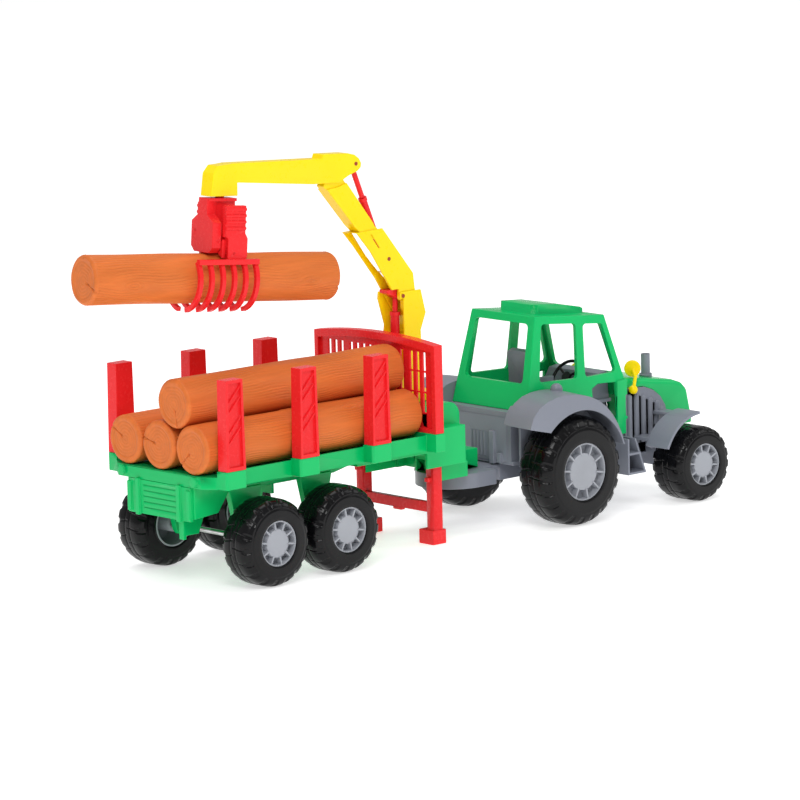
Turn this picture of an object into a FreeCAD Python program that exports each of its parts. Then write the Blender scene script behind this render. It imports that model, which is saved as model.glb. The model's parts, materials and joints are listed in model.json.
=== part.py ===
"""Toy tractor with a timber trailer and a loading crane, in millimetres.

Every outline below is written with X measured forward from the trailer's rear
axle, Y to the left and Z up from the floor.  save() moves each piece so that
the part's origin is on the floor under the middle of the toy.
"""
import FreeCAD, Part
import math
import os

V = FreeCAD.Vector
FORWARD = V(1, 0, 0)
LEFT = V(0, 1, 0)
UP = V(0, 0, 1)

# ---- driving dimensions -------------------------------------------------
MIDDLE_X = 198.6          # middle of the toy's length

TRAILER_AXLES = (0.0, 74.7)
TRAILER_WHEEL = {"radius": 35.3, "width": 33.6, "hub": 18.5, "face": 79.9}
REAR_AXLE = 335.0
REAR_WHEEL = {"radius": 45.9, "width": 38.7, "hub": 24.2, "face": 83.1}
FRONT_AXLE = 478.2
FRONT_WHEEL = {"radius": 32.0, "width": 36.0, "hub": 17.9, "face": 81.5}
TYRE_PROUD = 1.5          # tyre side wall outside the rim's face
AXLE_R = 2.2
AXLE_GAP = 0.08           # running clearance of an axle in its bearing
SPOKES = 10

HITCH_X = 264.0
HITCH_PIN_R = 4.0
PIN_GAP = 0.08            # running clearance of the other pins

DECK_TOP = 92.3
RIM_TOP = 97.3
STAKE_X = (-44.7, 32.5, 109.7)
STAKE_SIZE = 19.5         # along X
STAKE_IN, STAKE_OUT = 61.6, 72.8
STAKE_TOP = 169.6
DECK_FRONT = 188.6
HEADBOARD_X = (178.0, 187.0)
HEADBOARD_HALF = 72.8

LOG_R = 20.2
LOG_LENGTH = 231.0
LOG_TAPER = 1.0           # the thin end's radius is this much less
LOG_PITCH = 40.7
LOG_REAR = -54.0
LOG_END_ROUND = 3.0

LEG_PIVOT = V(202.5, 0, 69.0)

SLEW_X = 211.0
PEDESTAL_TOP = 114.0
FORK_HALF = 9.5           # outer half width of the column's fork
FORK_SLOT = 7.9           # half width between the fork's cheeks
BOOM_HALF = 7.5
INNER_HALF = 6.0
ARM_HALF = 6.6
BOOM_PIVOT = V(216.0, 0, 191.0)
LIFT_FOOT = V(201.3, 0, 132.0)
LIFT_HEAD = V(203.3, 0, 203.4)
ELBOW = V(138.0, 0, 307.3)
ARM_CYLINDER_FOOT = V(190.7, 0, 233.6)
ARM_TAIL = V(158.0, 0, 315.0)
PIN_R = 1.6
CYLINDER_R = 3.8
ROD_R = 2.2

GRAB_TOP = V(18.0, 0, 303.0)     # where the grab hangs from the arm's head
GRAB_TILT = 5.0                  # rear end higher
GRAB_TURN = -8.0                 # about the grab's own axis
GRIPPED_LOG_Z = -65.5            # centre line of the gripped log under GRAB_TOP
GRIPPED_LOG_BACK = -8.5          # middle of the gripped log along its length
JAW_PIVOT_Y, JAW_PIVOT_Z = 12.0, -41.0

CAB_REAR_BOTTOM, CAB_REAR_TOP = (306.5, 95.0), (324.5, 172.5)
CAB_FRONT_TOP, CAB_FRONT_BOTTOM = (404.4, 165.0), (422.0, 107.0)
CAB_HALF_LOW, CAB_HALF_HIGH = 45.4, 38.0
SHELL = 3.0
HOOD_HALF = 36.0
WHEEL_CENTRE = V(397.0, 0, 109.0)
WHEEL_LEAN = 55.0         # steering wheel's axis from upright
EXHAUST_FOOT = V(475.2, -16, 101.0)
MIRROR_FOOT = V(434.8, -41.5, 97.3)
MIRROR_PEG = V(434.8, -36.1, 97.3)


# ---- helpers -------------------------------------------------------------
def block(x, y, z):
    """Box between the given low and high values on each axis."""
    return Part.makeBox(x[1] - x[0], y[1] - y[0], z[1] - z[0], V(x[0], y[0], z[0]))


def face_of(points):
    return Part.Face(Part.makePolygon(list(points) + [points[0]]))


def prism_x(outline, x):
    """Outline of (y, z) points carried from x[0] to x[1]."""
    return face_of([V(x[0], p[0], p[1]) for p in outline]).extrude(V(x[1] - x[0], 0, 0))


def prism_y(outline, y):
    """Outline of (x, z) points carried from y[0] to y[1]."""
    return face_of([V(p[0], y[0], p[1]) for p in outline]).extrude(V(0, y[1] - y[0], 0))


def prism_z(outline, z):
    """Outline of (x, y) points carried from z[0] to z[1]."""
    return face_of([V(p[0], p[1], z[0]) for p in outline]).extrude(V(0, 0, z[1] - z[0]))


def rod(start, end, radius):
    way = end - start
    return Part.makeCylinder(radius, way.Length, start, way)


def cross_rod(x, z, radius, y):
    """Round bar across the toy, from y[0] to y[1]."""
    return rod(V(x, y[0], z), V(x, y[1], z), radius)


def joined(shapes):
    shapes = list(shapes)
    return shapes[0].fuse(shapes[1:]).removeSplitter()


def without(shape, tools):
    return shape.cut(list(tools))


def mirrored(shape):
    return shape.mirror(V(0, 0, 0), LEFT)


def both_sides(shape):
    return [shape, mirrored(shape)]


def rounded(shape, radius, keep):
    """Fillet the edges for which keep(edge) is true."""
    return shape.makeFillet(radius, [e for e in shape.Edges if keep(e)])


def runs_along(edge, axis):
    ends = [v.Point for v in edge.Vertexes]
    if len(ends) != 2:
        return False
    way = ends[1] - ends[0]
    return way.Length > 0.5 and abs(way.normalize().dot(axis)) > 0.99


def turned(outline_xy, centre, axis):
    """Solid of revolution of a closed outline of (radius, along) points about Y."""
    points = [V(centre.x + r, centre.y + a, centre.z) for r, a in outline_xy]
    return face_of(points).revolve(centre, axis, 360)


def save(name, shape):
    placed = shape.copy()
    placed.translate(V(-MIDDLE_X, 0, 0))
    placed.exportStep("parts/%s.step" % name)


# ---- wheels --------------------------------------------------------------
def tyre(size, axle_x):
    """Right-hand tyre: flat tread, sloped shoulders, a bead that grips the rim."""
    big, hub = size["radius"], size["hub"]
    outer = size["face"] + TYRE_PROUD
    inner = outer - size["width"]
    wall = big - hub
    outline = [
        (hub, -inner), (hub + 0.45 * wall, -inner), (big - 0.22 * wall, -inner - 0.04 * wall),
        (big - 0.05 * wall, -inner - 0.24 * wall), (big, -inner - 0.42 * wall),
        (big, -outer + 0.42 * wall), (big - 0.05 * wall, -outer + 0.24 * wall),
        (big - 0.22 * wall, -outer + 0.04 * wall), (hub + 0.45 * wall, -outer),
        (hub + 0.12 * wall, -outer), (hub, -outer + 0.12 * wall)]
    return turned(outline, V(axle_x, 0, big), LEFT)


def rim(size, axle_x):
    """Right-hand rim: thin lip, deep pockets between spokes, flat centre cap."""
    axle_z, hub, face = size["radius"], size["hub"], size["face"]
    centre = V(axle_x, 0, axle_z)
    lip, cap = hub - 1.5, 0.635 * hub
    inner = face + TYRE_PROUD - size["width"]
    floor = face - 7.0
    seat = hub - 0.05
    barrel = turned([(lip, -face), (seat, -face), (seat, -inner), (lip, -inner)], centre, LEFT)
    web = turned([(0, -floor), (lip + 0.3, -floor), (lip + 0.3, -floor + 2.5), (0, -floor + 2.5)], centre, LEFT)
    middle = turned([(0, -face + 1.2), (cap, -face + 1.2), (cap, -floor + 1), (0, -floor + 1)], centre, LEFT)
    boss = turned([(0, -floor), (6.5, -floor), (6.5, -inner - 1), (0, -inner - 1)], centre, LEFT)
    pieces = [barrel, web, middle, boss]
    for number in range(SPOKES):
        spoke = block((cap - 1, lip + 0.5), (-face + 0.4, -floor + 1), (-0.75, 0.75))
        spoke.rotate(V(0, 0, 0), LEFT, 360.0 * number / SPOKES + 8)
        spoke.translate(centre)
        pieces.append(spoke)
    bore = cross_rod(axle_x, axle_z, AXLE_R, (-face + 9, -inner + 5))
    return joined(pieces).cut(bore)


def wheelset(name, size, axle_x):
    save(name + "_tyre_right", tyre(size, axle_x))
    save(name + "_tyre_left", mirrored(tyre(size, axle_x)))
    save(name + "_rim_right", rim(size, axle_x))
    save(name + "_rim_left", mirrored(rim(size, axle_x)))
    reach = size["face"] - 9
    save(name + "_axle", cross_rod(axle_x, size["radius"], AXLE_R, (-reach, reach)))


# ---- tractor -------------------------------------------------------------
def axle_hole(axle_x, axle_z):
    return cross_rod(axle_x, axle_z, AXLE_R + AXLE_GAP, (-90, 90))


def underframe():
    """Base pan with axle bearings, and the hitch plate behind it."""
    pan = without(block((300, 494), (-18, 18), (36, 50.4)), [block((306, 491), (-15, 15), (39, 60))])
    bearings = [block((REAR_AXLE - 6, REAR_AXLE + 6), (-40, 40), (40, 50.4)),
                block((FRONT_AXLE - 6, FRONT_AXLE + 6), (-40, 40), (26, 50)),
                block((404, 408), (-16, 16), (38, 50))]
    plate = joined([block((HITCH_X, 303), (-32, 32), (37, 49.4)),
                    Part.makeCylinder(32, 12.4, V(HITCH_X, 0, 37))])
    pocket = joined([block((HITCH_X, 300), (-29.5, 29.5), (36, 46.4)),
                     Part.makeCylinder(29.5, 10.4, V(HITCH_X, 0, 36))])
    boss = Part.makeCylinder(9, 12.4, V(HITCH_X, 0, 37))
    hole = Part.makeCylinder(HITCH_PIN_R + PIN_GAP, 30, V(HITCH_X, 0, 30))
    body = joined([pan] + bearings + [plate.cut(pocket), boss])
    return without(body, [hole, axle_hole(REAR_AXLE, REAR_WHEEL["radius"]),
                          axle_hole(FRONT_AXLE, FRONT_WHEEL["radius"])])


def rear_housing():
    """Box behind the cab with an inset panel, ribs and upright slots."""
    shell = block((298.5, 332), (-33.5, 33.5), (50.4, 94.9))
    hollow = block((301.5, 340), (-30.5, 30.5), (50, 92.0))
    panel = block((297.7, 299), (-29, 27), (53, 90))
    ribs = [block((296.6, 299), (y, y + 1.6), (56, 76)) for y in (-4, 0, 4, 8, 12)]
    post = block((295, 299), (-16, -10.5), (50.4, 78))
    box = block((294.5, 299), (-24.5, -20), (52, 60))
    return joined([without(shell, [hollow]), panel, post, box] + ribs)


def sills():
    return joined([block((298.5, 497), (-36, 36), (50.4, 53.4)),
                   block((332, 428), (-36, -33), (50.4, 74)),
                   block((332, 428), (33, 36), (50.4, 74))])


def engine_side():
    """Right engine side: grey arched panel with five upright ribs."""
    arch = [(428, 50.4), (479, 50.4), (479, 70), (476.5, 79), (471, 87), (463, 93), (452, 97), (428, 98.5)]
    plate = prism_y(arch, (-37.6, -35.2))
    ribs = []
    for number in range(5):
        x = 433.5 + 8.2 * number
        top = 90.5 - 0.008 * (x - 433) ** 2
        ribs.append(cross_capsule(x, 50.6, top))
    return joined([plate] + ribs)


def cross_capsule(x, low, high):
    """Upright half-round rib on the engine side."""
    bar = Part.makeCylinder(2.6, high - low, V(x, -37.4, low))
    cap = Part.makeSphere(2.6, V(x, -37.4, high))
    return bar.fuse(cap)


def eased(points, count=15):
    """Points spaced evenly along a smooth curve through the given (x, z) points."""
    curve = Part.BSplineCurve()
    curve.interpolate([V(x, 0, z) for x, z in points])
    return [(p.x, p.z) for p in curve.toShape().discretize(Number=count)]


def fender_loft(inner, inner_y, outer, outer_y):
    """Solid between two smooth side outlines of a fender."""
    def wire(outline, y):
        points = [V(x, y, z) for x, z in eased(outline)]
        return Part.makePolygon(points + points[:1])

    return Part.makeLoft([wire(inner, inner_y), wire(outer, outer_y)], True, True)


def rear_fender():
    """Right rear fender: broad top that falls outward, with a lip round the wheel."""
    inside = [(281.5, 88), (293, 106), (320, 112.5), (346, 109), (368, 98), (383, 80), (388, 62)]
    outside = [(276, 88.5), (284, 102.5), (304, 111), (338, 109.5), (360, 100), (375, 84), (385, 62)]
    skin = fender_loft(inside, -43, outside, -81)
    wheel_well = cross_rod(REAR_AXLE, REAR_WHEEL["radius"], 51.0, (-100, -45.4))
    below = block((330, 400), (-100, -45.4), (20, 62.0))
    cab_room = block((290, 430), (-45.7, 0), (94.9, 130))
    hollow_in = [(285, 80), (296, 103), (320, 109.3), (345, 106), (366, 95.5), (380, 79), (384, 50)]
    hollow_out = [(280, 80), (287, 99.5), (305, 108), (337, 106.3), (358, 97.5), (372, 82), (381, 50)]
    cavity = fender_loft(hollow_in, -48, hollow_out, -78.5)
    side = prism_y([(298.5, 50.4), (298.5, 94.9), (376, 94.9), (386, 62), (386, 50.4)], (-45.4, -43))
    side = side.cut(cross_rod(REAR_AXLE, REAR_WHEEL["radius"], 8, (-100, 0)))
    bridge = block((298.5, 376), (-44, -33), (92.0, 94.9))
    brace = block((383, 386), (-44, -33.5), (50.4, 62))
    lamp = Part.makeCylinder(5.2, 6.4, V(332, -54.5, 106)).fuse(Part.makeSphere(5.2, V(332, -54.5, 112.4)))
    return joined([without(skin, [wheel_well, below, cavity, cab_room]), side, bridge, brace, lamp])


def front_fender():
    """Right front fender: curved strip over the back of the front wheel."""
    x, z = FRONT_AXLE, FRONT_WHEEL["radius"]
    ring = cross_rod(x, z, 45.5, (-79, -53)).cut(cross_rod(x, z, 43.0, (-90, -40)))
    web = cross_rod(x, z, 45.5, (-55, -53)).cut(cross_rod(x, z, 37.0, (-90, -40)))
    sector = prism_y([(x, z), (x - 73, z + 32.5), (x - 73, z + 80), (x - 2.8, z + 80)], (-90, -40))
    struts = [block((438, 452), (-54, -36), (54, 57)), block((462, 474), (-54, -36), (72.5, 75.5))]
    return joined([ring.common(sector), web.common(sector)] + struts)


def side_step():
    """Right step between the wheels: two treads between an upright and a sloping plate."""
    upright = block((403, 405), (-66, -36), (31, 61.8))
    slope = prism_y([(411, 61.8), (413, 61.8), (424.5, 31), (422.5, 31)], (-66, -36))
    treads = [block((404, 418), (-66, -36), (47.5, 49.5)), block((404, 423), (-66, -36), (31, 33))]
    back = prism_y([(403, 31), (403, 61.8), (413, 61.8), (424.5, 31)], (-38, -36))
    return joined([upright, slope, back] + treads)


def lower_body():
    right = [engine_side(), rear_fender(), front_fender(), side_step()]
    pieces = [rear_housing(), sills()]
    for shape in right:
        pieces += both_sides(shape)
    body = joined(pieces)
    holes = [axle_hole(REAR_AXLE, REAR_WHEEL["radius"]), axle_hole(FRONT_AXLE, FRONT_WHEEL["radius"])]
    return without(body, holes + both_sides(rod(MIRROR_FOOT, MIRROR_PEG, 1.6)))


def cab_block(inset):
    """Tapered cab body, drawn in by inset on every side but the bottom."""
    i = inset
    side = [(CAB_REAR_BOTTOM[0] + i, CAB_REAR_BOTTOM[1] - i), (CAB_REAR_TOP[0] + i, CAB_REAR_TOP[1] - i),
            (CAB_FRONT_TOP[0] - i, CAB_FRONT_TOP[1] - i), (CAB_FRONT_BOTTOM[0] - i, CAB_FRONT_BOTTOM[1]),
            (CAB_FRONT_BOTTOM[0] - i, 95.0 - i)]
    low, high = CAB_HALF_LOW - i, CAB_HALF_HIGH - i
    front = [(-low, 95 - i), (-high, 172.5), (high, 172.5), (low, 95 - i)]
    return prism_y(side, (-60, 60)).common(prism_x(front, (290, 440)))


def cab_windows():
    """Rear window, windscreen and two windows in each side, as cutting bodies."""
    rear = prism_x([(-35, 117), (-31.5, 166), (31.5, 166), (35, 117)], (300, 331))
    screen = prism_x([(-36, 114), (-32, 158.5), (32, 158.5), (36, 114)], (398, 424))
    quarter = prism_y([(323.5, 117.5), (331, 165.5), (370.5, 161.5), (367.5, 116)], (-60, 60))
    door = prism_y([(376.6, 115.5), (378.7, 160.3), (401, 158.0), (412.8, 116)], (-60, 60))
    panes = [rounded(pane, 4.0, lambda e: runs_along(e, FORWARD)) for pane in (rear, screen)]
    panes += [rounded(pane, 3.5, lambda e: runs_along(e, LEFT)) for pane in (quarter, door)]
    frame_gap = block((300, 440), (-60, 60), (90, 180)).common(
        prism_y([(383.5, 90), (383.5, 105), (390, 108), (411.5, 108), (411.5, 90)], (-60, 60)))
    return panes + [frame_gap]


def cab_and_hood():
    """Green moulding: cab with open windows, roof hatch, and the hood in front."""
    shell = cab_block(0).cut(cab_block(SHELL))
    shell = without(shell, cab_windows())
    sill_cut = block((300, 440), (-60, 60), (80, 95.01))
    shell = shell.cut(sill_cut)
    hatch_side = [(339, 166), (340, 178.8), (366, 176.8), (393, 171.4), (399, 168.5), (399, 163)]
    hatch = rounded(prism_y(hatch_side, (-21.5, 21.5)), 5.0, lambda e: runs_along(e, UP))
    hatch = hatch.cut(cab_block(SHELL))
    pillar = block((412, 422), (-45.4, -42.2), (62, 108))
    pillar_foot = block((412, 424), (-45.4, -35.8), (74.2, 77))
    collar = block((418, 424), (-45.4, 45.4), (95, 108.5)).cut(block((410, 430), (-33, 33), (90, 104)))
    return joined([shell, hatch, rounded_hood(), collar] + both_sides(pillar) + both_sides(pillar_foot))


def hood_section(x, top, inset, bottom):
    """Cross outline of the hood with softly rounded top corners."""
    half = HOOD_HALF - inset
    right = [(half, bottom), (half, top - 4), (half - 0.5, top - 2.2), (half - 1.5, top - 0.8), (half - 4, top)]
    outline = right + [(-y, z) for y, z in reversed(right)]
    return Part.makePolygon([V(x, y, z) for y, z in outline + outline[:1]])


def rounded_hood():
    """Hood shell: flat sides, softly rounded top, sloped nose with a slotted grille."""
    profile = [(421, 108), (432, 107.4), (489, 98.5), (499, 95), (504, 90), (509.5, 66)]
    outer = Part.makeLoft([hood_section(x, top, 0, 59) for x, top in profile], True, True)
    bay = [(410, 105.2), (432, 104.6), (488.4, 95.8), (496.8, 92.7), (501.2, 88.6), (506.4, 66)]
    inner = Part.makeLoft([hood_section(x, top, 2.8, 40) for x, top in bay], True, True)
    arch = [(420, 40), (420, 98.9), (452, 97.4), (463.2, 93.4), (471.3, 87.3), (476.9, 79.2), (479.4, 70), (479.4, 40)]
    slots = [block((496, 515), (-22, 22), (z, z + 2.2)) for z in (66, 71, 76, 81)]
    socket = rod(EXHAUST_FOOT - UP * 10, EXHAUST_FOOT + UP * 2, 3.0)
    return without(outer, [inner, prism_y(arch, (-60, 60)), socket] + slots)


def cab_interior():
    """Stepped floor, seat and dashboard in one moulding."""
    floor = block((334, 417), (-32.8, 32.8), (89, 92))
    step = block((332.0, 334.5), (-32.8, 32.8), (89, 97.9))
    shelf = block((312.5, 334.5), (-32.8, 32.8), (95.0, 97.9))
    legs = [block((x, x + 3), (-20, 20), (53.4, 90)) for x in (340, 405)]
    seat_box = block((346, 364), (-11, 11), (91, 105))
    seat_back = prism_y([(344, 103), (340.5, 138), (345.0, 139.5), (349.5, 103)], (-13.5, 13.5))
    seat_back = rounded(seat_back, 4.0, lambda e: corner_edge(e, 137, 141))
    cushion = rounded(block((344.5, 368), (-14, 14), (103, 111)), 2.5, lambda e: runs_along(e, LEFT))
    arm_rests = both_sides(block((347, 364), (-18.5, -13.5), (103, 116)))
    dash = prism_y([(396, 90), (396, 99), (405.5, 113.5), (415, 115), (417, 90)], (-30, 30))
    way = wheel_axis()
    column = rod(WHEEL_CENTRE - way * 2.2, WHEEL_CENTRE - way * 9.0, 3.4)
    bore = rod(WHEEL_CENTRE, WHEEL_CENTRE - way * 9.5, 2.0 + PIN_GAP)
    return joined([floor, step, shelf, seat_box, seat_back, cushion, dash, column] + legs + arm_rests).cut(bore)


def corner_edge(edge, low, high):
    ends = [v.Point for v in edge.Vertexes]
    return len(ends) == 2 and all(low <= p.z <= high for p in ends) and not runs_along(edge, LEFT)


def wheel_axis():
    lean = math.radians(WHEEL_LEAN)
    return V(-math.sin(lean), 0, math.cos(lean))


def steering_wheel():
    """Ring, three spokes and a hub with a stub that turns in the dashboard."""
    axis = wheel_axis()
    ring = Part.makeTorus(15.0, 1.35, WHEEL_CENTRE, axis)
    hub = Part.makeCylinder(4.2, 3.0, WHEEL_CENTRE - axis * 1.5, axis)
    stub = Part.makeCylinder(2.0, 9.0, WHEEL_CENTRE - axis * 8.8, axis)
    pieces = [ring, hub, stub]
    for number in range(3):
        spoke = rod(V(0, 0, 0), V(0, 14.6, 0), 1.1)
        spoke.rotate(V(0, 0, 0), axis, 90 + 120 * number)
        spoke.translate(WHEEL_CENTRE)
        pieces.append(spoke)
    return joined(pieces)


def exhaust_stack():
    """Hollow stack on a flange that follows the hood's slope, with a peg below."""
    foot = EXHAUST_FOOT
    stack = rod(foot - UP * 2, foot + UP * 19.5, 3.9).cut(rod(foot + UP * 12, foot + UP * 21, 2.6))
    flange = rod(foot - UP * 2, foot + UP * 2.6, 5.4)
    hood_top = prism_y([(432, 107.4), (489, 98.5), (489, 80), (432, 80)], (-30, 0))
    peg = rod(foot - UP * 6, foot + UP * 0.5, 3.0)
    return joined([joined([stack, flange]).cut(hood_top), peg])


def mirror_right():
    """Thick round mirror on a bent stem with a ball at its foot."""
    bend, head = V(440.5, -38.5, 107.5), V(443.5, -32.0, 113.4)
    facing = V(-0.74, -0.67, 0)
    disc = [Part.makeCone(6.1, 7.0, 0.7, head - facing * 2.0, facing),
            Part.makeCylinder(7.0, 2.6, head - facing * 1.3, facing),
            Part.makeCone(7.0, 6.1, 0.7, head + facing * 1.3, facing)]
    stem = [rod(MIRROR_FOOT, bend, 1.5), rod(bend, head, 1.5), Part.makeSphere(1.75, bend)]
    ball = Part.makeSphere(3.8, MIRROR_FOOT)
    peg = rod(MIRROR_FOOT, MIRROR_PEG, 1.6)
    return joined(disc + [ball, peg] + stem)


# ---- trailer -------------------------------------------------------------
def deck_outline(inset):
    rear, front = -54.0 + inset, DECK_FRONT - inset
    narrow, wide = 50.0 - inset, 62.0 - inset
    right = [(rear, -narrow), (rear + 8.5, -wide), (front, -wide)]
    return right + [(x, -y) for x, y in reversed(right)]


def stake_socket(x):
    """Right-hand socket wall round one stake, with the stake's peg hole."""
    low, high, out = x - 1.0, x + STAKE_SIZE + 1.0, STAKE_OUT + 0.2

    def bevelled(inner):
        return [(low, inner), (low, 1.5 - out), (low + 1.5, -out), (high - 1.5, -out), (high, 1.5 - out), (high, inner)]

    wall = prism_z(bevelled(-56.0), (83.0, DECK_TOP))
    collar = prism_z(bevelled(-61.2), (83.0, RIM_TOP))
    hole = block((x + 4.5, x + STAKE_SIZE - 4.5), (-STAKE_OUT + 3.0, -STAKE_IN - 3.0), (86.0, RIM_TOP + 1))
    return wall.fuse(collar), hole


def trailer_deck():
    """Deck with side rims, sunk middle with cross bars and openings, and the sockets."""
    slab = prism_z(deck_outline(0), (82.5, DECK_TOP))
    under = prism_z(deck_outline(2.6), (80, 86.0))
    sunk = block((-47.0, 170.0), (-33.0, 33.0), (88.6, 100))
    rims = both_sides(block((STAKE_X[0], DECK_FRONT), (-62.0, -59.6), (83.0, 95.6)))
    bars = [block((x + 1.5, x + 18), (-34, 34), (85.4, DECK_TOP)) for x in STAKE_X]
    bars.append(block((158, 171), (-34, 34), (85.4, DECK_TOP)))
    gaps = []
    for low, high in ((-22, 30), (55, 107), (132, 155)):
        gaps += [block((low + 2, high - 2), (y, y + 14), (80, 90)) for y in (-29, -7, 15)]
    walls, holes = [], []
    for x in STAKE_X:
        wall, hole = stake_socket(x)
        walls += both_sides(wall)
        holes += both_sides(hole)
    bar_rear = HEADBOARD_X[0] - 0.4
    corner = block((bar_rear, DECK_FRONT), (-STAKE_OUT - 0.2, -58), (82.5, RIM_TOP))
    front_bar = block((bar_rear, DECK_FRONT), (-60, 60), (84.0, RIM_TOP))
    peg_hole = block((HEADBOARD_X[0] + 1, HEADBOARD_X[1] - 1), (-66, -59), (87, RIM_TOP + 1))
    lamp = rod(V(-56.5, 44, 88.0), V(-50, 44, 88.0), 4.0)
    body = without(joined([slab] + rims), [under, sunk] + gaps)
    body = joined([body, front_bar] + bars + walls + both_sides(corner) + both_sides(lamp))
    return without(body, holes + both_sides(peg_hole))


def chassis_rail():
    """Right side rail of the chassis, with its axle hangers."""
    rail = prism_y([(-52, 57), (-28, 59), (-17, 74), (24, 74), (50, 74), (95, 74), (112, 64.5), (114.5, 64.5),
                    (114.5, 82.3), (-52, 82.3)], (-40.5, -38))
    front = prism_y([(112, 64.5), (232, 64.5), (232, 82.3), (112, 82.3)], (-50, -47.5))
    web = block((112, 114.5), (-50, -38), (64.5, 82.3))
    hangers = []
    for axle in TRAILER_AXLES:
        z = TRAILER_WHEEL["radius"]
        hangers.append(prism_y([(axle - 17, 76), (axle + 17, 76), (axle + 6.5, z - 3), (axle + 3.5, z - 6.5),
                                (axle - 3.5, z - 6.5), (axle - 6.5, z - 3)], (-42, -36)))
    return joined([rail, front, web] + hangers)


def rear_bumper():
    plate = block((-54.2, -51.2), (-38, 38), (55, 82.3))
    ribs = [block((-56.6, -54), (y, y + 4.4), (54, 83.5)) for y in (-27, 22.6)]
    grooves = [block((-55, -53.6), (-20, 19), (z, z + 0.9)) for z in (60, 64.5, 69, 73.5, 78)]
    edges = both_sides(block((-55.6, -54), (-38, -33.5), (56, 80)))
    tab = block((-52, -49), (-26, -20.5), (39, 56))
    hanger = prism_y([(-52, 56), (-30, 56), (-36, 42), (-49, 42)], (-26, -24))
    return joined([plate.cut(Part.makeCompound(grooves)), tab, hanger] + ribs + edges)


def trailer_chassis():
    """Rails, bumper plate, crane pedestal and the tongue."""
    top = block((-52, 196), (-40.5, 40.5), (79.8, 82.3))
    top = without(top, [block((x, x + 28), (-30, 30), (70, 90)) for x in (-40, -8, 58, 90, 122, 154)])
    pedestal = rounded(block((189.0, 237), (-38, 38), (60, PEDESTAL_TOP)), 12.0,
                       lambda e: runs_along(e, LEFT) and e.CenterOfMass.z > 100 and e.CenterOfMass.x > 200)
    hollow = block((192, 234), (-35, 35), (50, 92))
    nose = without(block((189, 245), (-38, 38), (50, 63)), [block((192, 242), (-35, 35), (49, 70))])
    leg_ear = block((189, 232), (-50, -47.5), (64.5, 96))
    shelf = block((189, 232), (-50, -37), (93.5, 96))
    tongue = without(block((230, 279), (-14, 14), (49.8, 66)), [block((233, 256), (-11.5, 11.5), (49, 63))])
    bore = Part.makeCylinder(8.08, 40, V(SLEW_X, 0, 84))
    core = Part.makeCylinder(12, PEDESTAL_TOP - 84, V(SLEW_X, 0, 84))
    pin_hole = Part.makeCylinder(HITCH_PIN_R, 30, V(HITCH_X, 0, 45))
    cross_walls = [block((x, x + 2.5), (-39, 39), (66, 80)) for x in (30, 112)]
    body = joined([top, pedestal.cut(hollow), nose, tongue, core, rear_bumper()] + cross_walls
                  + both_sides(chassis_rail()) + both_sides(leg_ear) + both_sides(shelf))
    holes = [axle_hole(x, TRAILER_WHEEL["radius"]) for x in TRAILER_AXLES]
    pivot = cross_rod(LEG_PIVOT.x, LEG_PIVOT.z, 3.0 + PIN_GAP, (-49.0, 49.0))
    tunnel = block((192.5, 233.5), (-37.5, 37.5), (49, 64))
    return without(body, holes + [pivot, bore, pin_hole, tunnel])


def arched_board(half, low, high, x):
    """Board across the toy with an arched top, from x[0] to x[1]."""
    shoulder = high - 5.0
    arc = Part.Arc(V(0, -half, shoulder), V(0, 0, high), V(0, half, shoulder)).toShape()
    lines = Part.makePolygon([V(0, half, shoulder), V(0, half, low), V(0, -half, low), V(0, -half, shoulder)])
    board = Part.Face(Part.Wire([arc] + lines.Edges)).extrude(V(x[1] - x[0], 0, 0))
    board.translate(V(x[0], 0, 0))
    return board


def headboard():
    """Arched red grille: thin plate with rows of slots in a deep frame, on two pegs."""
    half, low, rear = HEADBOARD_HALF, RIM_TOP + 0.1, HEADBOARD_X[0]
    opening = arched_board(half - 4.5, low + 3.8, 168.5, (rear - 1, HEADBOARD_X[1] + 1))
    frame = arched_board(half, low, 174.5, HEADBOARD_X).cut(opening)
    plate = arched_board(half - 1, low + 1, 173.5, (rear + 3.0, rear + 5.0))
    slots = []
    for row_low, row_high in ((101.6, 112), (113.4, 129), (130.4, 146), (147.4, 162.6)):
        for middle in (8, 15.5, 23, 30.5, 42, 49.5, 57):
            slot = block((rear, rear + 9), (middle - 1.7, middle + 1.7), (row_low, row_high))
            slots += both_sides(slot)
    peg = block((rear + 1, HEADBOARD_X[1] - 1), (-66, -59), (87.2, low + 2))
    return joined([frame, without(plate, slots)] + both_sides(peg))


def stake(x):
    """Right-hand stake: channel with a sunk outer panel, slanted ribs and a peg."""
    taper = 1.2
    body = prism_y([(x, RIM_TOP + 0.1), (x + STAKE_SIZE, RIM_TOP + 0.1), (x + STAKE_SIZE - taper, STAKE_TOP),
                    (x + taper, STAKE_TOP)], (-STAKE_OUT, -STAKE_IN))
    sunk = prism_y([(x + 2.6, 100.5), (x + STAKE_SIZE - 2.6, 100.5), (x + STAKE_SIZE - 3.4, STAKE_TOP - 2.6),
                    (x + 3.4, STAKE_TOP - 2.6)], (-STAKE_OUT - 1, -STAKE_OUT + 2.2))
    ribs = []
    for low in (116, 124, 140, 148):
        ribs.append(prism_y([(x + 2, low), (x + 2, low + 2), (x + STAKE_SIZE - 2, low + 18),
                             (x + STAKE_SIZE - 2, low + 16)], (-STAKE_OUT + 0.9, -STAKE_OUT + 2.4)))
    hollow = block((x + 3.5, x + STAKE_SIZE - 3.5), (-STAKE_OUT + 4.5, -STAKE_IN - 2.0), (90, 160))
    peg = block((x + 4.5, x + STAKE_SIZE - 4.5), (-STAKE_OUT + 3.0, -STAKE_IN - 3.0), (87.0, RIM_TOP + 1))
    return joined([without(body, [sunk, hollow]), peg] + ribs)


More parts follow.
